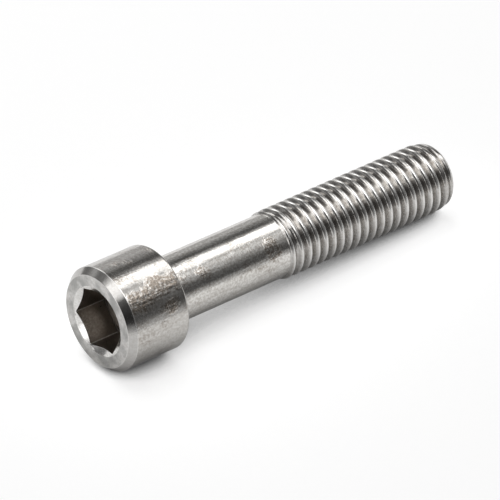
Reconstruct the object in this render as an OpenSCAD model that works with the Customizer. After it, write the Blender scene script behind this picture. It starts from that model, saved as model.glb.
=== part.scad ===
// Hexagon socket head cap screw with a metric coarse thread along part of its shank.
// Origin: centre of the bearing face under the head. +Z runs along the shank to the tip,
// and the head hangs below the origin, down to its flat top at -head_h.

/* [Head] */
// Diameter of the head
head_d = 18; // [15:0.5:26]
// Height of the head, from its bearing face to its flat top
head_h = 12; // [10:0.5:18]
// Width of the chamfer round the head's flat top
head_chamfer_w = 1; // [0.4:0.1:1.2]
// Height of that chamfer, along the head's side
head_chamfer_h = 1.2; // [0.4:0.1:2]
// Radius of the round on the rim beside the bearing face
head_rim_r = 0.5; // [0.2:0.1:0.8]

/* [Socket] */
// Size of the hexagon across its flats
socket_af = 10; // [6:1:12]
// Depth of the full hexagon below the head's flat top
socket_depth = 6; // [4:0.5:7]
// Depth of the shallow cone below the hexagon
socket_point_h = 1.2; // [0.5:0.1:2]
// How far the countersunk mouth reaches past the hexagon's corners
mouth_margin = 0.3; // [0.1:0.1:0.5]
// Full angle of the countersunk mouth
mouth_angle = 120; // [90:5:140]

/* [Shank] */
// Length from the bearing face to the tip
length = 60; // [50:1:100]
// How much thinner the plain shank is than the thread's crests, on the diameter
shank_reduction = 0.8; // [0.2:0.1:1]
// Radius of the fillet between the shank and the bearing face
fillet_r = 0.6; // [0.3:0.1:0.9]

/* [Thread] */
// Nominal thread diameter, across the crests
thread_d = 12; // [10:0.5:14.5]
// Thread pitch
pitch = 1.75; // [1.25:0.05:2.1]
// Length of the threaded part, back from the tip
thread_length = 36; // [20:1:44]
// Length over which the crests rise out of the plain shank
lead_in_h = 0.8; // [0.4:0.1:1.5]
// Length over which the groove fades out towards the plain shank, in pitches
run_out_pitches = 2; // [1:0.5:3]
// Height of the chamfer on the tip
tip_chamfer_h = 1.4; // [0.8:0.1:2]
// How far the end face lies inside the thread's root, on the radius
tip_inset = 0.05; // [0.05:0.05:0.5]

/* [Hidden] */
$fn = 96;
steel = [0.78, 0.77, 0.75];
// Steps round one turn of the thread
turn_steps = 36;
// Spare room that a cutter or an envelope reaches past the metal it trims
spare = 0.2;

head_r = head_d / 2;
crest_r = thread_d / 2;
shank_r = crest_r - shank_reduction / 2;
thread_start = length - thread_length;
// Height of the fundamental triangle of the 60 degree metric profile
triangle_h = pitch * sqrt(3) / 2;
root_r = crest_r - triangle_h * 5 / 8;
crest_flat = pitch / 8;
root_flat = pitch / 4;
tip_r = root_r - tip_inset;
hexagon_d = socket_af / cos(30);
mouth_r = hexagon_d / 2 + mouth_margin;

// One pitch of the thread's outline: [place along the axis, radius]
thread_outline = [
    [-crest_flat / 2, crest_r],
    [crest_flat / 2, crest_r],
    [(pitch - root_flat) / 2, root_r],
    [(pitch + root_flat) / 2, root_r]
];

// Head: a plain cylinder with a chamfer round its top and a small round on its rim
module head() {
    side_h = head_h - head_chamfer_h;
    color(steel)
        difference() {
            union() {
                translate([0, 0, -side_h])
                    cylinder(h = side_h, r = head_r);
                translate([0, 0, -head_h])
                    cylinder(h = head_chamfer_h, r1 = head_r - head_chamfer_w, r2 = head_r);
            }
            rim_round();
        }
}

// Ring of metal that the round on the head's rim leaves out
module rim_round() {
    rotate_extrude()
        translate([head_r - head_rim_r, -head_rim_r])
            difference() {
                square(head_rim_r + spare);
                circle(r = head_rim_r);
            }
}

// Hexagon socket with its countersunk mouth and the shallow cone at its bottom
module socket() {
    mouth_h = mouth_r / tan(mouth_angle / 2);
    color(steel)
        translate([0, 0, -head_h]) {
            cylinder(h = socket_depth, d = hexagon_d, $fn = 6);
            cylinder(h = mouth_h, r1 = mouth_r, r2 = 0);
            translate([0, 0, socket_depth])
                cylinder(h = socket_point_h, d1 = socket_af, d2 = 0);
        }
}

// Plain shank, flared by the fillet where it meets the head
module shank() {
    color(steel) {
        cylinder(h = thread_start, r = shank_r);
        rotate_extrude()
            difference() {
                square([shank_r + fillet_r, fillet_r]);
                translate([shank_r + fillet_r, fillet_r])
                    circle(r = fillet_r);
            }
    }
}

// Right-handed helical body, longer at both ends than the threaded part.
// Point [j, m] is point m of the outline after j steps round the helix.
module thread_helix() {
    first_z = thread_start - 2 * pitch;
    turns = ceil(thread_length / pitch) + 4;
    steps = turns * turn_steps;
    rows = len(thread_outline);
    last = steps * rows;
    low = last + rows;
    high = low + 1;
    helix_points = [
        for (j = [0 : steps], p = thread_outline)
            let (a = 360 * j / turn_steps)
            [p[1] * cos(a), p[1] * sin(a), first_z + pitch * j / turn_steps + p[0]]
    ];
    axis_points = [[0, 0, first_z], [0, 0, first_z + pitch * turns]];
    // Faces between the outline's points, and on to the first point of the next turn
    outline_faces = [
        for (j = [0 : steps - 1], m = [0 : rows - 2])
            let (i = j * rows + m)
            each [[i, i + 1, i + rows + 1], [i, i + rows + 1, i + rows]]
    ];
    turn_faces = [
        for (j = [0 : steps - turn_steps - 1])
            let (i = j * rows + rows - 1, k = (j + turn_steps) * rows)
            each [[i, k, k + rows], [i, k + rows, i + rows]]
    ];
    // Each end is closed by a fan about the axis
    low_faces = [
        for (j = [0 : turn_steps - 1]) [j * rows, (j + 1) * rows, low],
        for (m = [0 : rows - 2]) [m + 1, m, low],
        [turn_steps * rows, rows - 1, low]
    ];
    high_faces = [
        for (j = [steps - turn_steps : steps - 1]) [(j + 2) * rows - 1, (j + 1) * rows - 1, high],
        for (m = [0 : rows - 2]) [last + m, last + m + 1, high],
        [(steps - turn_steps + 1) * rows - 1, last, high]
    ];
    polyhedron(
        points = concat(helix_points, axis_points),
        faces = concat(outline_faces, turn_faces, low_faces, high_faces)
    );
}

// Outer limit of the threaded part: the lead-in, the full diameter and the tip's chamfer
module thread_limit() {
    limit_r = crest_r + spare;
    lead_slope = (crest_r - shank_r) / lead_in_h;
    chamfer_slope = (crest_r - tip_r) / tip_chamfer_h;
    rotate_extrude()
        polygon([
            [0, thread_start],
            [shank_r, thread_start],
            [limit_r, thread_start + (limit_r - shank_r) / lead_slope],
            [limit_r, length - (limit_r - tip_r) / chamfer_slope],
            [tip_r, length],
            [0, length]
        ]);
}

// Threaded end of the shank, with the cone that fills the groove where it runs out
module threaded_end() {
    color(steel) {
        intersection() {
            thread_helix();
            thread_limit();
        }
        translate([0, 0, thread_start])
            cylinder(h = run_out_pitches * pitch, r1 = shank_r, r2 = root_r);
    }
}

module screw() {
    difference() {
        union() {
            head();
            shank();
            threaded_end();
        }
        socket();
    }
}

screw();
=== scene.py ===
from collections import namedtuple
from math import atan2, cos, hypot, pi, radians, sin, sqrt, tan

import bmesh
import bpy
from mathutils import Matrix, Vector


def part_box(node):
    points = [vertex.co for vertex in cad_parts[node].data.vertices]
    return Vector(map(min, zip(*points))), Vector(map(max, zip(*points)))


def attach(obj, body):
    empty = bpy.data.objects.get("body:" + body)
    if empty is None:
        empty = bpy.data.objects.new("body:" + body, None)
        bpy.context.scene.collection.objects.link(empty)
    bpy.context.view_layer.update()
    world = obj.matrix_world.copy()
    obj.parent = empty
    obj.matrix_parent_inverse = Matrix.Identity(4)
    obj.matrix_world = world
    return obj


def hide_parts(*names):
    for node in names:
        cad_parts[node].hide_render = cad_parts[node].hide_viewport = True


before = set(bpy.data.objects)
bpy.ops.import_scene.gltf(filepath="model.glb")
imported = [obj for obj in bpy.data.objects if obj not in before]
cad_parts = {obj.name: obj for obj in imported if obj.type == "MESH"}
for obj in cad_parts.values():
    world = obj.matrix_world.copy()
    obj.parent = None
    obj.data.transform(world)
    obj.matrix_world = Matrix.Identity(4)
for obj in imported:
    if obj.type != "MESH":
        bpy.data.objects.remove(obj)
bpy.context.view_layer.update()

# ================================================================ sizes, in millimetres
# The screw stands on its head: z is 0 at the bearing face and grows towards the tip.
MM = 0.001
node_low, node_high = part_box("screw")
HEAD_TOP = node_low.z / MM
TIP = node_high.z / MM
HEAD_R = min(node_high.x, node_high.y, -node_low.x, -node_low.y) / MM
CHAMFER_W = 1.0
CHAMFER_H = 1.2

SOCKET_AF = 10.0
SOCKET_DEPTH = 6.0
SOCKET_POINT = 1.2
SOCKET_CORNER_R = 0.22
MOUTH_MARGIN = 0.3
MOUTH_ANGLE = radians(120)
MOUTH_R = SOCKET_AF / sqrt(3) + MOUTH_MARGIN
# Narrow faces beside the edges of the socket's floor and lips, which keep the walls flat in the shading
CONE_INSET = 0.06
FLOOR_INSET = 0.04
FLOOR_BEVEL = 0.01
LIP_GUARD = 0.03
LIP_BEVEL = 0.004
# Height of the painted shade on the walls above the socket's floor
SHADE_BAND = 0.12

# Radius of the round on each edge of the head. The guard is the narrow flat beside a round.
MOUTH_EDGE = 0.05
FACE_EDGE = 0.12
CHAMFER_EDGE = 0.22
RIM_ROUND = 0.5
# Share of the rim's round from which it takes the edge look, whose lighter steel paints a highlight on the
# rim
RIM_BRIGHT_FROM = 0.3
FILLET_R = 0.6
ROUND_GUARD = 0.06
# A point in the mouth, from which the round on the mouth's edge takes its direction
MOUTH_GUIDE_IN = 0.03
MOUTH_GUIDE_DOWN = 0.02

SHANK_R = 5.6
CREST_R = 6.0
PITCH = 1.75
THREAD_START = TIP - 36.0
LEAD_IN = 0.3
RUN_OUT = 2 * PITCH
FLANK = radians(60)
CREST_ROUND = 0.50
ROOT_ROUND = 0.12
FLANK_RUN = PITCH / 2 - (CREST_ROUND + ROOT_ROUND) * sin(FLANK)
ROOT_R = CREST_R - (CREST_ROUND + ROOT_ROUND) * (1 - cos(FLANK)) - FLANK_RUN * tan(FLANK)
# The crests taper a little before the bevel of the tip. The floor touches the full crest that lies
# TIP_CHAMFER below the tip.
TIP_TAPER = 2.8
TIP_TAPER_R = 5.42
TIP_CHAMFER = 1.4
TIP_R = 5.0
# Width over which two surfaces of the thread blend. It shrinks to the least width at the thread's ends.
START_BLEND = 0.25
START_BLEND_SLOPE = 0.3
TIP_BLEND = 0.15
TIP_BLEND_SLOPE = 0.5
LEAST_BLEND = 0.001

# ================================================================ mesh density
AROUND = 144
PER_SIDE = AROUND // 6
CORNER_STEPS = 6
ROUND_STEPS = 6
HALF_PITCH_STEPS = (0.0, 0.04, 0.08, 0.12, 0.155, 0.19, 0.22, 0.247, 0.32, 0.40, 0.437, 0.457, 0.478, 0.5)
TURNS_BEFORE = 2
TURNS_AFTER = 3
# Where the rings lie, as shares of the radius or of the height of what they belong to
CONE_RINGS = (0.15, 0.6, 0.97, 1.0)
WALL_RINGS = (0.02, 0.25, 0.5, 0.75, 0.94, 1.0)
MOUTH_RINGS = (0.08, 0.5, 0.9)
TIP_RINGS = (0.99, 0.6, 0.2)
# Heights of the shank's rings, and how far inside the front flat's edge its points are evenly spaced
SHANK_RINGS = (5.0, 9.0, 14.0, 19.0, 23.0, THREAD_START - 0.25, THREAD_START - 0.05)
EVEN_MARGIN = 0.3
# Points closer than MERGE_DISTANCE become one, and edges shorter than LEAST_EDGE are taken out
MERGE_DISTANCE = 0.0005
LEAST_EDGE = 0.00001

# ================================================================ studio
# The screw lies on its side: the floor touches the rim of the head and the crests near the tip.
# Angles are in degrees, and distances in metres unless they say otherwise.
LYING_TURN = 42.2
CAMERA_HEADING = 50.15
CAMERA_ELEVATION = 36.11
CAMERA_DISTANCE = 0.9795
AIM_ALONG_MM = 20.0
AIM_UP_MM = 0.906
FOCAL_LENGTH = 432.0

ROOM_LIGHT = 0.6
SOFTBOX_WATTS = 1.6
SOFTBOX_SIZE = 0.5
SOFTBOX_DISTANCE = 0.6
SOFTBOX_LEAN = 14
SCREW_MIDDLE = (0, 0, 0.024)
FLAG_DISTANCE = 0.055
FLAG_REACH = 0.6
FLAG_HEIGHT = 0.018
FLAG_LIGHT_TOP = 0.12
FLAG_LIGHT_FOOT = 0.65

# The floor by how open it is to the sky, which paints its shadow in: (share of open sky, level).
# Its grey, which the painted shadow darkens, then the glow added for the camera, then the glow added in what
# mirrors or bends the view.
FLOOR_REACH = 6.0
SHADOW_REACH = 0.1
FLOOR_GREY_AND_SHADOW = [
    (0.0, 0.0), (0.13, 0.03), (0.25, 0.25), (0.3, 0.42), (0.4, 0.60), (0.5, 0.68),
    (0.6, 0.70), (0.7, 0.76), (0.8, 0.81), (0.9, 0.86), (1.0, 0.88),
]
FLOOR_LIFT_SEEN = [
    (0.0, 0.0), (0.14, 0.03), (0.20, 0.14), (0.27, 0.31), (0.33, 0.43), (0.42, 0.54),
    (0.52, 0.61), (0.57, 0.58), (0.7, 0.48), (0.8, 0.39), (0.9, 0.26), (1.0, 0.14),
]
FLOOR_LIFT_MIRRORED = [(0.0, 0.20), (0.15, 0.13), (0.34, 0.0), (0.76, 0.0), (0.9, 0.06), (1.0, 0.06)]

# Light of the tent round the screw: (angle from overhead in degrees, negative on the far side; light)
TENT_RADIUS = 2.0
TENT_TOP = 3.0
TENT_TIP_END = [
    (-90, 0.52), (-70, 0.50), (-57, 0.29), (-47, 0.17), (-35, 0.09), (-24, 0.42), (-16, 2.2), (-4, 2.4),
    (5, 1.5), (11, 0.52), (22, 0.80), (36, 0.50), (50, 0.29), (62, 0.12), (78, 0.07), (90, 0.20),
]
TENT_MIDDLE = [
    (-90, 0.50), (-76, 0.60), (-66, 1.30), (-56, 2.60), (-47, 2.20), (-40, 0.25), (-30, 0.20), (-16, 0.30),
    (-2, 0.60), (6, 2.2), (13, 3.0), (31, 3.0), (39, 1.2), (46, 0.4), (58, 0.12), (90, 0.20),
]
TENT_HEAD_END = [
    (-90, 0.20), (-78, 0.15), (-62, 0.40), (-50, 0.10), (-38, 0.15), (-27, 0.8), (-18, 1.8), (-6, 1.9),
    (8, 1.6), (16, 1.1), (24, 0.14), (45, 0.06), (65, 0.03), (90, 0.06),
]
# Stretches of the tent along the screw, as shares of its radius: -1 beyond the tip, 1 beyond the head.
TIP_TO_MIDDLE = (-0.54, -0.44)
MIDDLE_TO_HEAD = (-0.10, 0.12)
FILL_STARTS = (0.08, 0.20)
FILL_ENDS = (0.45, 0.58)
FILL_LIGHT = 0.12
HEAD_PANEL = (0.90, 0.96)
HEAD_PANEL_LIGHT = 1.6
TIP_FADE = (-0.97, -0.86)
TIP_FADE_SHARE = 0.25
TIP_PANEL = (-0.985, -0.955)
TIP_PANEL_LIGHT = 0.9

# ================================================================ steel
# Copies of one steel: the shank and countersink are lighter, the chamfer darker: painted light and shade
HEAD_STEEL = (0.66, 0.645, 0.62)
SHANK_LIT_STEEL = (0.78, 0.765, 0.735)
FACE_STEEL = (0.67, 0.66, 0.645)
CHAMFER_SHADED_STEEL = (0.54, 0.53, 0.515)
MOUTH_LIT_STEEL = (0.84, 0.83, 0.81)
EDGE_HIGHLIGHT_STEEL = (0.70, 0.69, 0.67)
# Light steel for the thread's crests and the socket's rounded corners: painted highlights, and worn crests
HIGHLIGHT_STEEL = (0.84, 0.83, 0.81)
THREAD_STEEL = (0.60, 0.59, 0.575)
SOCKET_LIT_STEEL = (0.90, 0.87, 0.83)
SOCKET_SHADE = (0.29, 0.257, 0.228)
CORNER_SHADE = (0.10, 0.09, 0.08)
STAIN = (0.30, 0.262, 0.225)
SMUDGE = (0.30, 0.30, 0.29)
ROOT_TONE = (0.25, 0.235, 0.22)

# How fine each pattern is, per millimetre. Streaks run along the screw, and strokes run round it.
GRAIN_SCALE = 1.7
SPECK_SCALE = 2.6
CLOUD_SCALE = 0.28
SMUDGE_SCALE = 0.3
STREAK_SCALE = (1.8, 1.8, 0.25)
STROKES_AROUND = 3.0
STROKES_ACROSS = 4.0
GRAIN_TURN = (0.6, 0.35, 0.9)
# Levels of each noise between which it takes effect
CLOUD_LEVELS = (0.52, 0.66)
RAGGED_LEVELS = (0.3, 0.7)
MARKS_LEVELS = (0.8, 1.15)
SPECK_LEVELS = (0.42, 0.60)
STREAK_LEVELS = (0.46, 0.66)
SMUDGE_LEVELS = (0.42, 0.60)
ROUGHNESS_LEVELS = (0.3, 0.7)

# How strong each effect is. Relief is in shares of RELIEF_DEPTH, which is in millimetres.
CLOUD_WEAR = 0.25
LEAST_MARKED = 0.45
PATCH_SPECKS = 0.75
PATCH_STAIN = 0.42
STREAK_STAIN = 0.22
ROOT_TONE_STRENGTH = 0.5
CREST_WEAR_AND_HIGHLIGHT = 0.9
SOCKET_SHADE_AMOUNT = 0.9
ROUGHNESS_SPREAD = 0.03
PATCH_ROUGHNESS = 0.04
CREST_ROUGHNESS = 0.12
RELIEF_DEPTH = 0.03
PATCH_GRAIN_RELIEF = 1.9
PATCH_STROKE_RELIEF = 0.9
STROKE_RELIEF = 0.15
STREAK_RELIEF = 0.38

# Where the thread's grooves turn darker and browner and its crests turn lighter (worn, with a painted
# highlight), by radius, and where the darker grooves end, by height
GROOVE_RADII = (CREST_R - 0.4, CREST_R - 0.8)
CREST_RADII = (CREST_R - 0.05, CREST_R - 0.008)
ROOT_TONE_FADE = (TIP - 1.9, TIP - 0.9)

# Places where the skin is rougher and stained: (centre, radius), in millimetres
WORN = [
    ((1.3, 8.9, -1.6), 1.9),
    ((1.0, 8.9, -3.9), 2.3),
    ((0.7, 8.9, -6.2), 2.2),
    ((0.4, 8.9, -8.6), 2.0),
    ((-2.2, 8.7, -3.4), 2.0),
    ((0.7, 5.5, 2.6), 1.9),
    ((0.4, 5.6, 6.4), 1.6),
    ((-0.8, 5.5, 20.0), 2.2),
]
WORN_CORE = 0.4
RAGGED_EDGE = 1.3
# Middle of the painted lit spot on the socket's wall, and the distances over which the painted shade sets in
SOCKET_LIT_SPOT = (0.0, -SOCKET_AF / 2, HEAD_TOP + 1.7)
SOCKET_LIT_REACH = (1.8, 3.2)

# Blender gives one name to several sockets of a colour mix, so they are taken by their numbers.
MIX_FACTOR = 0
MIX_A = 6
MIX_B = 7
MIX_RESULT = 2


def between(low, high, share):
    return low + (high - low) * share


# ================================================================ mesh of the screw
class Skin:
    """A closed skin, made ring by ring. Points are in millimetres, and each face has the name of its look."""

    def __init__(self):
        self.points = []
        self.faces = []
        self.looks = []

    def ring(self, points):
        """Adds a ring of points, and returns their numbers."""
        start = len(self.points)
        self.points.extend(points)
        return list(range(start, len(self.points)))

    def bridge(self, lower, upper, look, corner_look=None):
        """Faces between two rings. corner_look is for those on the hexagon's rounded corners."""
        count = len(lower)
        for i in range(count):
            j = (i + 1) % count
            self.faces.append((lower[i], lower[j], upper[j], upper[i]))
            on_corner = corner_look and i % PER_SIDE < CORNER_STEPS
            self.looks.append(corner_look if on_corner else look)

    def chain(self, rings, look, corner_look=None):
        for lower, upper in zip(rings, rings[1:]):
            self.bridge(lower, upper, look, corner_look)

    def fan(self, ring, centre, look, flip=False):
        """Closes a ring with triangles that meet at a centre."""
        self.points.append(centre)
        middle = len(self.points) - 1
        for i in range(len(ring)):
            j = (i + 1) % len(ring)
            face = (ring[j], ring[i], middle) if flip else (ring[i], ring[j], middle)
            self.faces.append(face)
            self.looks.append(look)


def circle(radius, z, angles):
    return [(radius * cos(a), radius * sin(a), z) for a in angles]


# A corner of an outline: its rounding, the looks of the round and of the stretch after it,
# and the share of the round that still has the look of the stretch before it
Corner = namedtuple("Corner", "r z rounding edge then edge_from", defaults=(0.0,))


def rounded_outline(corners):
    """(radius, z) points along a polyline with rounded corners, and the look of the stretch after each point.
    A guard point beside each round keeps the flat beyond it flat in the shading."""
    line = [(corners[0].r, corners[0].z)]
    looks = [corners[0].then]
    for before, here, after in zip(corners, corners[1:], corners[2:]):
        point = Vector((here.r, here.z))
        back = (Vector((before.r, before.z)) - point).normalized()
        ahead = (Vector((after.r, after.z)) - point).normalized()
        half = back.angle(ahead) / 2
        reach = here.rounding / tan(half)
        centre = point + (back + ahead).normalized() * (here.rounding / sin(half))
        first = point + back * reach
        last = point + ahead * reach
        line.append(tuple(first + back * ROUND_GUARD))
        looks.append(before.then)
        for i in range(ROUND_STEPS + 1):
            share = i / ROUND_STEPS
            spoke = (first - centre).normalized().slerp((last - centre).normalized(), share)
            line.append(tuple(centre + spoke * here.rounding))
            if i == ROUND_STEPS:
                looks.append(here.then)
            else:
                looks.append(here.edge if share >= here.edge_from else before.then)
        line.append(tuple(last + ahead * ROUND_GUARD))
        looks.append(here.then)
    line.append((corners[-1].r, corners[-1].z))
    return line, looks


def hexagon_outline():
    """The socket's outline, with a corner on +X, as (angle, radius) for each of AROUND points."""
    apothem = SOCKET_AF / 2
    half_side = radians(30)
    corner_x = (apothem - SOCKET_CORNER_R) / cos(half_side)
    half_flat = (apothem - SOCKET_CORNER_R) * tan(half_side)
    flat_steps = PER_SIDE - CORNER_STEPS
    side = []
    for i in range(CORNER_STEPS + 1):
        a = radians(60 * i / CORNER_STEPS - 30)
        side.append((corner_x + SOCKET_CORNER_R * cos(a), SOCKET_CORNER_R * sin(a)))
    for i in range(1, flat_steps):
        sideways = half_flat * (2 * i / flat_steps - 1)
        x = apothem * cos(half_side) - sideways * sin(half_side)
        y = apothem * sin(half_side) + sideways * cos(half_side)
        side.append((x, y))
    outline = []
    for k in range(6):
        for x, y in side:
            outline.append((atan2(y, x) + radians(60 * k), hypot(x, y)))
    return outline


def add_socket(skin):
    """Socket, from its point out to the countersunk mouth. Returns the mouth's last ring and its angles."""
    outline = hexagon_outline()
    angles = [a for a, _ in outline]
    floor_z = HEAD_TOP + SOCKET_DEPTH
    band_z = floor_z - SHADE_BAND
    cone_r = SOCKET_AF / 2 - CONE_INSET

    def mouth_z(r):
        return HEAD_TOP + (MOUTH_R - r) / tan(MOUTH_ANGLE / 2)

    def wall_ring(z_of, inset=0.0):
        return skin.ring([((r - inset) * cos(a), (r - inset) * sin(a), z_of(r)) for a, r in outline])

    def mouth_ring(share):
        ring = []
        for a, r in outline:
            wide = between(r, MOUTH_R, share)
            ring.append((wide * cos(a), wide * sin(a), mouth_z(wide)))
        return skin.ring(ring)

    cone = []
    for share in CONE_RINGS:
        cone.append(skin.ring(circle(cone_r * share, floor_z + SOCKET_POINT * (1 - share), angles)))
    skin.fan(cone[0], (0, 0, floor_z + SOCKET_POINT), "socket", flip=True)
    skin.chain(cone, "socket")

    corner = [
        cone[-1],
        wall_ring(lambda r: floor_z, FLOOR_INSET),
        wall_ring(lambda r: floor_z - FLOOR_BEVEL, FLOOR_BEVEL),
        wall_ring(lambda r: band_z),
    ]
    # Painted shade: near-black steel in the corner of the socket's floor and on the band of wall above it
    skin.chain(corner, "corner")

    walls = [corner[-1]]
    for share in WALL_RINGS:
        walls.append(wall_ring(lambda r: between(band_z, mouth_z(r) + LIP_GUARD, share)))
    # The hexagon's rounded corners take the crease look, a light steel that paints a highlight along them
    skin.chain(walls, "socket", "crease")

    mouth = [walls[-1], wall_ring(lambda r: mouth_z(r) + LIP_BEVEL)]
    for share in MOUTH_RINGS:
        mouth.append(mouth_ring(share))
    skin.chain(mouth, "mouth")
    return mouth[-1], angles


def add_head(skin, mouth, mouth_angles, angles):
    """Front flat, chamfer, side, rim, bearing face and fillet. Returns the last ring, on the shank.
    The first and the last corner have no ring: they give the edges beside them their directions."""
    corners = [
        Corner(MOUTH_R - MOUTH_GUIDE_IN, HEAD_TOP + MOUTH_GUIDE_DOWN, 0.0, "mouth", "mouth"),
        Corner(MOUTH_R, HEAD_TOP, MOUTH_EDGE, "edge", "face"),
        Corner(HEAD_R - CHAMFER_W, HEAD_TOP, FACE_EDGE, "edge", "chamfer"),
        Corner(HEAD_R, HEAD_TOP + CHAMFER_H, CHAMFER_EDGE, "edge", "head"),
        Corner(HEAD_R, 0.0, RIM_ROUND, "edge", "head", RIM_BRIGHT_FROM),
        Corner(SHANK_R, 0.0, FILLET_R, "shank", "shank"),
        Corner(SHANK_R, THREAD_START, 0.0, "shank", "shank"),
    ]
    line, looks = rounded_outline(corners)
    rings = []
    flat_end = HEAD_R - CHAMFER_W - EVEN_MARGIN
    for r, z in line[1:-1]:
        # The points turn from the hexagon's angles to even ones on their way across the front flat
        share = min(1.0, max(0.0, (r - MOUTH_R) / (flat_end - MOUTH_R)))
        turned = [between(a, b, share) for a, b in zip(mouth_angles, angles)]
        rings.append(skin.ring(circle(r, z, turned)))
    skin.bridge(mouth, rings[0], "mouth")
    for look, lower, upper in zip(looks[1:], rings, rings[1:]):
        skin.bridge(lower, upper, look)
    return rings[-1]


def add_shank(skin, fillet_end, angles):
    """Plain shank, and the step from it to the thread's first ring."""
    shank = [fillet_end]
    for z in SHANK_RINGS:
        shank.append(skin.ring(circle(SHANK_R, z, angles)))
    skin.chain(shank, "shank")
    lead = skin.ring(circle(SHANK_R, THREAD_START, angles))
    skin.bridge(shank[-1], lead, "thread")


def smooth_min(a, b, width):
    h = max(width - abs(a - b), 0.0) / width
    return min(a, b) - h * h * width / 4


def smooth_max(a, b, width):
    return -smooth_min(-a, -b, width)


def ridge_radius(offset):
    """Rolled profile by the distance from the crest's middle: round crest, straight flank, round root."""
    crest_end = CREST_ROUND * sin(FLANK)
    if offset < crest_end:
        return CREST_R - CREST_ROUND + sqrt(CREST_ROUND ** 2 - offset ** 2)
    if offset < crest_end + FLANK_RUN:
        return CREST_R - CREST_ROUND * (1 - cos(FLANK)) - (offset - crest_end) * tan(FLANK)
    return ROOT_R + ROOT_ROUND - sqrt(ROOT_ROUND ** 2 - (PITCH / 2 - offset) ** 2)


def thread_radius(z, angle):
    """Radius of the threaded part at a height and an angle: the rolled profile, inside its limits."""
    turn = (z - THREAD_START) / PITCH - angle / (2 * pi)
    profile = ridge_radius(min(abs(turn - round(turn)), 0.5) * PITCH)
    from_start = z - THREAD_START
    run_out = between(SHANK_R, ROOT_R, from_start / RUN_OUT)
    lead_in = between(SHANK_R, CREST_R, from_start / LEAD_IN)
    blend = min(START_BLEND, max(LEAST_BLEND, from_start * START_BLEND_SLOPE))
    radius = smooth_max(profile, run_out, blend)
    radius = smooth_min(radius, lead_in, blend)
    to_tip = TIP - z
    taper = between(TIP_TAPER_R, CREST_R, to_tip / TIP_TAPER)
    bevel = smooth_min(taper, TIP_R + to_tip, TIP_BLEND)
    return smooth_min(radius, bevel, min(TIP_BLEND, max(LEAST_BLEND, to_tip * TIP_BLEND_SLOPE)))


def thread_point(z, angle):
    r = thread_radius(z, angle)
    return (r * cos(angle), r * sin(angle), z)


def add_thread(skin, angles):
    """Threaded part, as a sheet whose rows follow the helix and are cut off level at both ends."""
    steps = list(HALF_PITCH_STEPS) + [1 - step for step in reversed(HALF_PITCH_STEPS[1:-1])]
    turns = TURNS_BEFORE + round((TIP - THREAD_START) / PITCH) + TURNS_AFTER
    first_z = THREAD_START - TURNS_BEFORE * PITCH
    columns = []
    for a in angles:
        column = []
        for turn in range(turns):
            for step in steps:
                z = first_z + PITCH * (turn + step + a / (2 * pi))
                z = min(max(z, THREAD_START), TIP)
                column.append(thread_point(z, a))
        columns.append(skin.ring(column))
    # The last column meets the first one a turn further up
    columns.append(columns[0][len(steps):])
    for here, after in zip(columns, columns[1:]):
        for k in range(min(len(here), len(after)) - 1):
            quad = (here[k], after[k], after[k + 1], here[k + 1])
            # Rows beyond the ends fall onto one level, where their faces have no area
            if len({skin.points[v] for v in quad}) > 2:
                skin.faces.append(quad)
                skin.looks.append("thread")


def add_tip(skin, angles):
    """Flat end face of the tip."""
    rings = [skin.ring([thread_point(TIP, a) for a in angles])]
    for share in TIP_RINGS:
        rings.append(skin.ring(circle(TIP_R * share, TIP, angles)))
    skin.chain(rings, "face")
    skin.fan(rings[-1], (0, 0, TIP), "face")


def merge(mesh):
    """Joins the points that parts of the skin share, and turns every face outwards."""
    work = bmesh.new()
    work.from_mesh(mesh)
    bmesh.ops.remove_doubles(work, verts=work.verts, dist=MERGE_DISTANCE * MM)
    bmesh.ops.dissolve_degenerate(work, dist=LEAST_EDGE * MM, edges=work.edges)
    bmesh.ops.recalc_face_normals(work, faces=work.faces)
    work.to_mesh(mesh)
    work.free()


def place_object(name, data):
    thing = bpy.data.objects.new(name, data)
    bpy.context.scene.collection.objects.link(thing)
    return thing


def build_screw(looks):
    skin = Skin()
    mouth, mouth_angles = add_socket(skin)
    angles = [2 * pi * (i - CORNER_STEPS // 2) / AROUND for i in range(AROUND)]
    fillet_end = add_head(skin, mouth, mouth_angles, angles)
    add_shank(skin, fillet_end, angles)
    add_thread(skin, angles)
    add_tip(skin, angles)
    mesh = bpy.data.meshes.new("socket_screw")
    mesh.from_pydata([tuple(c * MM for c in p) for p in skin.points], [], skin.faces)
    names = sorted(looks)
    for name in names:
        mesh.materials.append(looks[name])
    for polygon, look in zip(mesh.polygons, skin.looks):
        polygon.material_index = names.index(look)
        polygon.use_smooth = True
    merge(mesh)
    return place_object("socket_screw", mesh)


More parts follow.
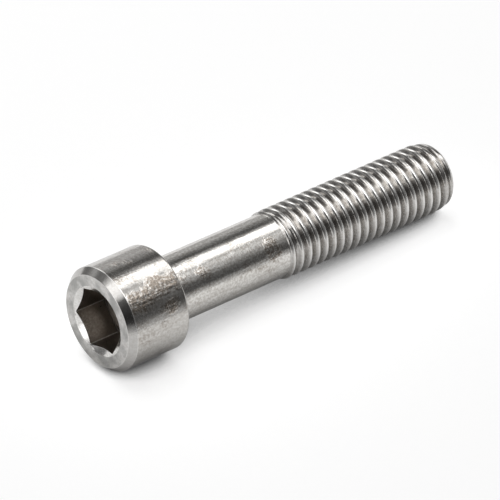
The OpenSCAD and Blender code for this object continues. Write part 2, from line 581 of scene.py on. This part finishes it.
# ================================================================ materials
class Nodes:
    """Short names for building a material's nodes."""

    def __init__(self, name):
        self.material = bpy.data.materials.new(name)
        self.material.use_nodes = True
        self.tree = self.material.node_tree
        self.tree.nodes.clear()
        self.out = self.add("ShaderNodeOutputMaterial")

    def add(self, kind, **values):
        node = self.tree.nodes.new(kind)
        for key, value in values.items():
            setattr(node, key, value)
        return node

    def link(self, source, target):
        self.tree.links.new(source, target)

    def place(self, scale):
        """Object coordinates in millimetres, stretched by scale."""
        coordinates = self.add("ShaderNodeTexCoord")
        mapping = self.add("ShaderNodeMapping")
        mapping.inputs["Scale"].default_value = [s / MM for s in scale]
        self.link(coordinates.outputs["Object"], mapping.inputs["Vector"])
        return mapping.outputs["Vector"]

    def skewed(self, scale):
        """Object coordinates in millimetres times scale, turned so that no grain runs along the screw."""
        vector = self.place((scale, scale, scale))
        vector.node.inputs["Rotation"].default_value = GRAIN_TURN
        return vector

    def turned(self, around, across):
        """Coordinates of turning marks: around the axis, and across the marks per millimetre."""
        direction = self.add("ShaderNodeVectorMath", operation="NORMALIZE")
        self.link(self.place((1, 1, 0)), direction.inputs[0])
        split = self.add("ShaderNodeSeparateXYZ")
        self.link(direction.outputs["Vector"], split.inputs[0])
        joined = self.add("ShaderNodeCombineXYZ")
        self.link(self.times(split.outputs["X"], around), joined.inputs["X"])
        self.link(self.times(split.outputs["Y"], around), joined.inputs["Y"])
        step = self.plus(self.radius(), self.height())
        self.link(self.times(step, across), joined.inputs["Z"])
        return joined.outputs["Vector"]

    def radius(self):
        """Distance from the screw's axis in millimetres."""
        flat = self.add("ShaderNodeVectorMath", operation="LENGTH")
        self.link(self.place((1, 1, 0)), flat.inputs[0])
        return flat.outputs["Value"]

    def height(self):
        """Height along the screw's axis in millimetres."""
        split = self.add("ShaderNodeSeparateXYZ")
        self.link(self.place((1, 1, 1)), split.inputs[0])
        return split.outputs["Z"]

    def distance_to(self, point):
        """Distance from a point in millimetres."""
        node = self.add("ShaderNodeVectorMath", operation="DISTANCE")
        self.link(self.place((1, 1, 1)), node.inputs[0])
        node.inputs[1].default_value = point
        return node.outputs["Value"]

    def noise(self, vector, detail=3.0, roughness=0.6):
        node = self.add("ShaderNodeTexNoise")
        node.inputs["Scale"].default_value = 1.0
        node.inputs["Detail"].default_value = detail
        node.inputs["Roughness"].default_value = roughness
        self.link(vector, node.inputs["Vector"])
        return node.outputs[0]

    def remap(self, value, low, high, to_low, to_high):
        node = self.add("ShaderNodeMapRange")
        node.inputs["From Min"].default_value = low
        node.inputs["From Max"].default_value = high
        node.inputs["To Min"].default_value = to_low
        node.inputs["To Max"].default_value = to_high
        self.link(value, node.inputs["Value"])
        return node.outputs["Result"]

    def math(self, operation, a, b):
        node = self.add("ShaderNodeMath", operation=operation)
        for socket, value in zip(node.inputs, (a, b)):
            if isinstance(value, (int, float)):
                socket.default_value = value
            else:
                self.link(value, socket)
        return node.outputs[0]

    def plus(self, a, b):
        return self.math("ADD", a, b)

    def times(self, a, b):
        return self.math("MULTIPLY", a, b)

    def larger(self, a, b):
        return self.math("MAXIMUM", a, b)

    def smaller(self, a, b):
        return self.math("MINIMUM", a, b)

    def blend(self, amount, a, b):
        """a where amount is 0, b where it is 1."""
        return self.plus(a, self.times(self.math("SUBTRACT", b, a), amount))

    def ramp(self, value, stops, top=1.0, interpolation="EASE"):
        """Light or grey level as a curve through (value, level) stops. No level is over top."""
        node = self.add("ShaderNodeValToRGB")
        node.color_ramp.interpolation = interpolation
        elements = node.color_ramp.elements
        while len(elements) < len(stops):
            elements.new(0.5)
        for element, (where, level) in zip(elements, stops):
            element.position = where
            element.color = (level / top, level / top, level / top, 1)
        self.link(value, node.inputs["Fac"])
        return self.times(node.outputs["Color"], top)

    def tint(self, amount, colour_a, colour_b):
        """colour_a where amount is 0, colour_b where it is 1. Each is a plain colour or comes from a node."""
        node = self.add("ShaderNodeMix", data_type="RGBA")
        for number, colour in ((MIX_A, colour_a), (MIX_B, colour_b)):
            if isinstance(colour, tuple):
                node.inputs[number].default_value = (*colour, 1)
            else:
                self.link(colour, node.inputs[number])
        self.link(amount, node.inputs[MIX_FACTOR])
        return node.outputs[MIX_RESULT]

    def finish(self, surface):
        self.link(surface, self.out.inputs["Surface"])
        return self.material


def worn_patches(nodes, strokes, streaks):
    """How worn the skin is, from 0 to 1: faint clouds all over, and the worn places with ragged edges."""
    cloud = nodes.noise(nodes.place((CLOUD_SCALE, CLOUD_SCALE, CLOUD_SCALE)), roughness=0.5)
    patches = nodes.remap(cloud, *CLOUD_LEVELS, 0.0, CLOUD_WEAR)
    for centre, radius in WORN:
        shift = nodes.remap(cloud, *RAGGED_LEVELS, -RAGGED_EDGE, RAGGED_EDGE)
        ragged = nodes.plus(nodes.distance_to(centre), shift)
        patches = nodes.larger(patches, nodes.remap(ragged, radius, radius * WORN_CORE, 0.0, 1.0))
    marked = nodes.remap(nodes.plus(strokes, streaks), *MARKS_LEVELS, LEAST_MARKED, 1.0)
    return nodes.times(patches, marked)


def stain_share(nodes, patches, streaks, grain_colour, marks):
    """How far the steel is stained, from 0 to 1: specks, the worn patches and dull streaks."""
    specks = nodes.remap(nodes.noise(nodes.skewed(SPECK_SCALE), detail=2.0), *SPECK_LEVELS, 1.0, 0.0)
    specks = nodes.times(specks, nodes.plus(nodes.times(patches, PATCH_SPECKS), grain_colour))
    stained = nodes.plus(specks, nodes.times(patches, PATCH_STAIN))
    stained = nodes.plus(stained, nodes.remap(streaks, *STREAK_LEVELS, 0.0, STREAK_STAIN * marks))
    return nodes.smaller(stained, 1.0)


def root_tone_share(nodes):
    """How much darker and browner the thread turns towards its groove roots. The tapered end of the tip keeps
    its plain colour.
    """
    deep = nodes.remap(nodes.radius(), *GROOVE_RADII, 0.0, ROOT_TONE_STRENGTH)
    before_tip = nodes.remap(nodes.height(), *ROOT_TONE_FADE, 1.0, 0.0)
    return nodes.times(deep, before_tip)


def relief(nodes, strokes, streaks, patches, grain_height, marks):
    """Fine relief of the skin, in shares of RELIEF_DEPTH: grain, turning strokes and drawing streaks."""
    grain = nodes.noise(nodes.skewed(GRAIN_SCALE))
    height = nodes.times(grain, nodes.plus(nodes.times(patches, PATCH_GRAIN_RELIEF), grain_height))
    stroke_height = nodes.plus(nodes.times(patches, PATCH_STROKE_RELIEF * marks), STROKE_RELIEF * marks)
    height = nodes.plus(height, nodes.times(strokes, stroke_height))
    return nodes.plus(height, nodes.times(streaks, STREAK_RELIEF * marks))


def steel(name, colour, roughness, grain_colour, grain_height, worn, marks=1.0, smudges=0.0,
          threaded=False, sunk=False):
    """Bright steel with turning strokes, drawing streaks, a fine grain, and rougher stained patches.
    grain_colour and grain_height say how far the grain shows in the colour and in the relief. worn, marks and
    smudges are the strengths of the patches, of the strokes and streaks, and of dull smudges. threaded turns
    the grooves darker and browner and the crests lighter, worn and with a painted highlight, and sunk paints
    light at one spot of the socket's wall and shade away from it."""
    nodes = Nodes(name)
    shader = nodes.add("ShaderNodeBsdfPrincipled")
    shader.inputs["Metallic"].default_value = 1.0
    strokes = nodes.noise(nodes.turned(STROKES_AROUND, STROKES_ACROSS))
    streaks = nodes.noise(nodes.place(STREAK_SCALE), roughness=0.55)
    patches = nodes.times(worn_patches(nodes, strokes, streaks), worn)

    surface_colour = nodes.tint(stain_share(nodes, patches, streaks, grain_colour, marks), colour, STAIN)
    least_rough = roughness - ROUGHNESS_SPREAD
    most_rough = roughness + ROUGHNESS_SPREAD
    rough = nodes.remap(streaks, *ROUGHNESS_LEVELS, least_rough, most_rough)
    rough = nodes.plus(rough, nodes.times(patches, PATCH_ROUGHNESS))
    if threaded:
        # Lighter steel towards the crests: worn crests, with a painted highlight along each
        crest = nodes.remap(nodes.radius(), *CREST_RADII, 0.0, 1.0)
        # Darker and browner towards the groove roots
        surface_colour = nodes.tint(root_tone_share(nodes), surface_colour, ROOT_TONE)
        surface_colour = nodes.tint(nodes.times(crest, CREST_WEAR_AND_HIGHLIGHT), surface_colour, HIGHLIGHT_STEEL)
        rough = nodes.plus(rough, nodes.times(crest, CREST_ROUGHNESS))
    # Painted light and shade in the socket: light steel at one spot of a wall, darkening away from it
    if sunk:
        away = nodes.remap(nodes.distance_to(SOCKET_LIT_SPOT), *SOCKET_LIT_REACH, 0.0, SOCKET_SHADE_AMOUNT)
        surface_colour = nodes.tint(away, surface_colour, SOCKET_SHADE)
    if smudges:
        smudge = nodes.noise(nodes.place((SMUDGE_SCALE, SMUDGE_SCALE, SMUDGE_SCALE)), detail=4.0)
        smudged = nodes.remap(smudge, *SMUDGE_LEVELS, 0.0, smudges)
        surface_colour = nodes.tint(smudged, surface_colour, SMUDGE)
    nodes.link(surface_colour, shader.inputs["Base Color"])
    nodes.link(rough, shader.inputs["Roughness"])

    bump = nodes.add("ShaderNodeBump")
    bump.inputs["Strength"].default_value = 1.0
    bump.inputs["Distance"].default_value = RELIEF_DEPTH * MM
    nodes.link(relief(nodes, strokes, streaks, patches, grain_height, marks), bump.inputs["Height"])
    nodes.link(bump.outputs["Normal"], shader.inputs["Normal"])
    return nodes.finish(shader.outputs["BSDF"])


def make_looks():
    """The finish of each kind of surface, under the name that the skin's faces use."""
    return {
        "head": steel("turned_steel", HEAD_STEEL, 0.14,
                      grain_colour=0.28, grain_height=0.25, worn=1.3, marks=0.75),
        # The shank's lighter copy of the steel: painted light
        "shank": steel("drawn_steel", SHANK_LIT_STEEL, 0.14,
                       grain_colour=0.34, grain_height=0.25, worn=0.75),
        "face": steel("faced_steel", FACE_STEEL, 0.13,
                      grain_colour=0.2, grain_height=0.12, worn=0.3, marks=0.8, smudges=0.75),
        # The chamfer's darker copy of the steel: painted shade
        "chamfer": steel("chamfer_steel", CHAMFER_SHADED_STEEL, 0.13,
                         grain_colour=0.15, grain_height=0.1, worn=0.2, marks=0.5),
        # Lighter, rougher steel on the rounded edges: worn edges, with a painted highlight along them
        "edge": steel("worn_edge_highlight", EDGE_HIGHLIGHT_STEEL, 0.24,
                      grain_colour=0.1, grain_height=0.1, worn=0.0, marks=0.3),
        # The countersink's lighter copy of the steel: painted light
        "mouth": steel("countersink_steel", MOUTH_LIT_STEEL, 0.16,
                       grain_colour=0.2, grain_height=0.15, worn=0.2, marks=0.5),
        # Light steel darkened away from one spot of a wall: painted light and shade in the socket
        "socket": steel("socket_steel", SOCKET_LIT_STEEL, 0.30,
                        grain_colour=0.35, grain_height=1.3, worn=0.3, marks=0.6, sunk=True),
        # Near-black steel for the corner of the socket's floor: painted shade
        "corner": steel("painted_corner_shade", CORNER_SHADE, 0.5,
                        grain_colour=0.2, grain_height=0.3, worn=0.0, marks=0.3),
        # Light steel on the socket's rounded corners: a painted highlight
        "crease": steel("socket_crease_highlight", HIGHLIGHT_STEEL, 0.40,
                        grain_colour=0.3, grain_height=0.2, worn=0.0, marks=0.3),
        "thread": steel("rolled_steel", THREAD_STEEL, 0.11,
                        grain_colour=0.3, grain_height=0.3, worn=0.5, marks=0.9, threaded=True),
    }


def floor_material():
    """White on its front, with the screw's shadow painted in by how open it is to the sky, and clear from
    behind, so that it hides nothing in the other views.
    """
    nodes = Nodes("white_floor")
    diffuse = nodes.add("ShaderNodeBsdfDiffuse")
    open_sky = nodes.add("ShaderNodeAmbientOcclusion", samples=16)
    open_sky.inputs["Distance"].default_value = SHADOW_REACH
    share = open_sky.outputs["AO"]
    # The floor's grey and its glows follow how open it is to the sky: a painted shadow
    nodes.link(nodes.ramp(share, FLOOR_GREY_AND_SHADOW, interpolation="LINEAR"), diffuse.inputs["Color"])
    for_camera = nodes.ramp(share, FLOOR_LIFT_SEEN, interpolation="LINEAR")
    for_mirrors = nodes.ramp(share, FLOOR_LIFT_MIRRORED, interpolation="LINEAR")
    path = nodes.add("ShaderNodeLightPath")
    mirrored = nodes.larger(path.outputs["Is Glossy Ray"], path.outputs["Is Transmission Ray"])
    seen_part = nodes.times(path.outputs["Is Camera Ray"], for_camera)
    mirrored_part = nodes.times(mirrored, for_mirrors)
    glow = nodes.add("ShaderNodeEmission")
    glow.inputs["Color"].default_value = (1, 1, 1, 1)
    nodes.link(nodes.plus(seen_part, mirrored_part), glow.inputs["Strength"])
    white = nodes.add("ShaderNodeAddShader")
    nodes.link(diffuse.outputs[0], white.inputs[0])
    nodes.link(glow.outputs[0], white.inputs[1])
    clear = nodes.add("ShaderNodeBsdfTransparent")
    side = nodes.add("ShaderNodeNewGeometry")
    mix = nodes.add("ShaderNodeMixShader")
    nodes.link(side.outputs["Backfacing"], mix.inputs[0])
    nodes.link(white.outputs[0], mix.inputs[1])
    nodes.link(clear.outputs[0], mix.inputs[2])
    return nodes.finish(mix.outputs[0])


def by_angle(stops):
    """The tent's stops on a scale from 0, at -90 degrees, to 1, at 90 degrees."""
    return [(angle / 180 + 0.5, light) for angle, light in stops]


def tent_material():
    """Light of the tent by direction: the angle over the screw, and the stretch along it."""
    nodes = Nodes("light_tent")
    coordinates = nodes.add("ShaderNodeTexCoord")
    split = nodes.add("ShaderNodeSeparateXYZ")
    nodes.link(coordinates.outputs["Object"], split.inputs[0])
    angle = nodes.math("ARCTAN2", split.outputs["Y"], split.outputs["Z"])
    place = nodes.plus(nodes.math("DIVIDE", angle, pi), 0.5)
    lean = nodes.math("DIVIDE", split.outputs["X"], TENT_RADIUS)
    tip_end = nodes.ramp(place, by_angle(TENT_TIP_END), TENT_TOP)
    middle = nodes.ramp(place, by_angle(TENT_MIDDLE), TENT_TOP)
    head_end = nodes.ramp(place, by_angle(TENT_HEAD_END), TENT_TOP)
    light = nodes.blend(nodes.remap(lean, *TIP_TO_MIDDLE, 0, 1), tip_end, middle)
    light = nodes.blend(nodes.remap(lean, *MIDDLE_TO_HEAD, 0, 1), light, head_end)
    fill_in = nodes.remap(lean, *FILL_STARTS, 0, FILL_LIGHT)
    fill_out = nodes.remap(lean, *FILL_ENDS, FILL_LIGHT, 0)
    light = nodes.plus(light, nodes.smaller(fill_in, fill_out))
    light = nodes.larger(light, nodes.remap(lean, *HEAD_PANEL, 0, HEAD_PANEL_LIGHT))
    light = nodes.times(light, nodes.remap(lean, *TIP_FADE, TIP_FADE_SHARE, 1))
    light = nodes.larger(light, nodes.remap(lean, *TIP_PANEL, TIP_PANEL_LIGHT, 0))
    glow = nodes.add("ShaderNodeEmission")
    nodes.link(light, glow.inputs["Strength"])
    return nodes.finish(glow.outputs[0])


def flag_material():
    """Dark at the card's top and lighter at its foot, by the mesh's height attribute."""
    nodes = Nodes("dark_flag")
    glow = nodes.add("ShaderNodeEmission")
    glow.inputs["Color"].default_value = (1, 1, 1, 1)
    share = nodes.add("ShaderNodeAttribute", attribute_name="height").outputs["Fac"]
    nodes.link(nodes.remap(share, 0, 1, FLAG_LIGHT_FOOT, FLAG_LIGHT_TOP), glow.inputs["Strength"])
    return nodes.finish(glow.outputs[0])


# ================================================================ studio
def floor_frame():
    """Up, along and side of the floor that the lying screw rests on, and a point of it."""
    across = Vector((cos(radians(LYING_TURN)), sin(radians(LYING_TURN)), 0))
    rim = -across * HEAD_R + Vector((0, 0, -RIM_ROUND))
    crest = -across * CREST_R + Vector((0, 0, TIP - TIP_CHAMFER))
    along = (crest - rim).normalized()
    side = across.cross(along).normalized()
    up = along.cross(side)
    return up, along, side, rim * MM


def make_floor(up, along, side, point):
    """Large white square, with its front towards the screw."""
    mesh = bpy.data.meshes.new("floor")
    corners = []
    for a, b in ((-1, -1), (1, -1), (1, 1), (-1, 1)):
        corners.append(tuple(point + along * a * FLOOR_REACH + side * b * FLOOR_REACH))
    mesh.from_pydata(corners, [], [(0, 1, 2, 3)])
    mesh.materials.append(floor_material())
    floor = place_object("floor", mesh)
    if mesh.polygons[0].normal.dot(up) < 0:
        mesh.flip_normals()


def show_in_mirrors_only(thing):
    thing.visible_camera = False
    thing.visible_diffuse = False
    thing.visible_transmission = False
    thing.visible_shadow = False


def make_tent(up, along, side):
    """Round tent of soft light, which only the metal mirrors."""
    mesh = bpy.data.meshes.new("light_tent")
    work = bmesh.new()
    bmesh.ops.create_icosphere(work, subdivisions=5, radius=TENT_RADIUS)
    work.to_mesh(mesh)
    work.free()
    mesh.materials.append(tent_material())
    tent = place_object("light_tent", mesh)
    tent.matrix_world = Matrix((-along, -side, up)).transposed().to_4x4()
    show_in_mirrors_only(tent)


def make_flag(up, along, side, point):
    """Dark card on the floor beside the screw: bright metal mirrors it as a dark band."""
    mesh = bpy.data.meshes.new("dark_flag")
    foot = point - side * FLAG_DISTANCE
    left = foot - along * FLAG_REACH
    right = foot + along * FLAG_REACH
    rise = up * FLAG_HEIGHT
    corners = [tuple(corner) for corner in (left, right, right + rise, left + rise)]
    mesh.from_pydata(corners, [], [(0, 1, 2, 3)])
    height = mesh.attributes.new("height", "FLOAT", "POINT")
    height.data.foreach_set("value", (0, 0, 1, 1))
    mesh.materials.append(flag_material())
    flag = place_object("dark_flag", mesh)
    show_in_mirrors_only(flag)


def make_world():
    """White where the camera sees it, in mirrors and through glass, and a plain soft light elsewhere."""
    world = bpy.data.worlds.new("white_room")
    bpy.context.scene.world = world
    world.use_nodes = True
    tree = world.node_tree
    path = tree.nodes.new("ShaderNodeLightPath")
    seen = path.outputs["Is Camera Ray"]
    for ray in ("Is Glossy Ray", "Is Transmission Ray"):
        larger = tree.nodes.new("ShaderNodeMath")
        larger.operation = "MAXIMUM"
        tree.links.new(seen, larger.inputs[0])
        tree.links.new(path.outputs[ray], larger.inputs[1])
        seen = larger.outputs[0]
    level = tree.nodes.new("ShaderNodeMapRange")
    level.inputs["To Min"].default_value = ROOM_LIGHT
    level.inputs["To Max"].default_value = 1.0
    tree.links.new(seen, level.inputs["Value"])
    background = tree.nodes["Background"]
    background.inputs["Color"].default_value = (1, 1, 1, 1)
    tree.links.new(level.outputs["Result"], background.inputs["Strength"])


def make_softbox(up, side):
    """Large soft lamp over the screw, a little to one side. It lights the floor, and no mirror shows it."""
    data = bpy.data.lights.new("softbox", "AREA")
    data.shape = "SQUARE"
    data.size = SOFTBOX_SIZE
    data.energy = SOFTBOX_WATTS
    lamp = place_object("softbox", data)
    lean = radians(SOFTBOX_LEAN)
    back = (up * cos(lean) + side * sin(lean)).normalized()
    lamp.location = Vector(SCREW_MIDDLE) + back * SOFTBOX_DISTANCE
    lamp.rotation_mode = "QUATERNION"
    lamp.rotation_quaternion = (-back).to_track_quat("-Z", "Y")
    lamp.visible_glossy = False
    lamp.visible_camera = False


def make_camera(up, along, side):
    data = bpy.data.cameras.new("camera")
    data.lens = FOCAL_LENGTH
    data.clip_start = 0.01
    data.clip_end = 20
    camera = place_object("camera", data)
    heading = radians(CAMERA_HEADING)
    elevation = radians(CAMERA_ELEVATION)
    level = along * cos(heading) + side * sin(heading)
    forward = level * cos(elevation) - up * sin(elevation)
    right = forward.cross(up).normalized()
    camera_up = right.cross(forward)
    aim = Vector((0, 0, AIM_ALONG_MM * MM)) + up * AIM_UP_MM * MM
    turn = Matrix((right, camera_up, -forward)).transposed().to_4x4()
    camera.matrix_world = Matrix.Translation(aim - forward * CAMERA_DISTANCE) @ turn
    bpy.context.scene.camera = camera


bpy.context.scene.view_settings.view_transform = "Standard"
up, along, side, touch = floor_frame()
make_camera(up, along, side)
make_world()
make_softbox(up, side)
make_floor(up, along, side, touch)
make_tent(up, along, side)
make_flag(up, along, side, touch)

screw = build_screw(make_looks())
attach(screw, "root")
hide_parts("screw")
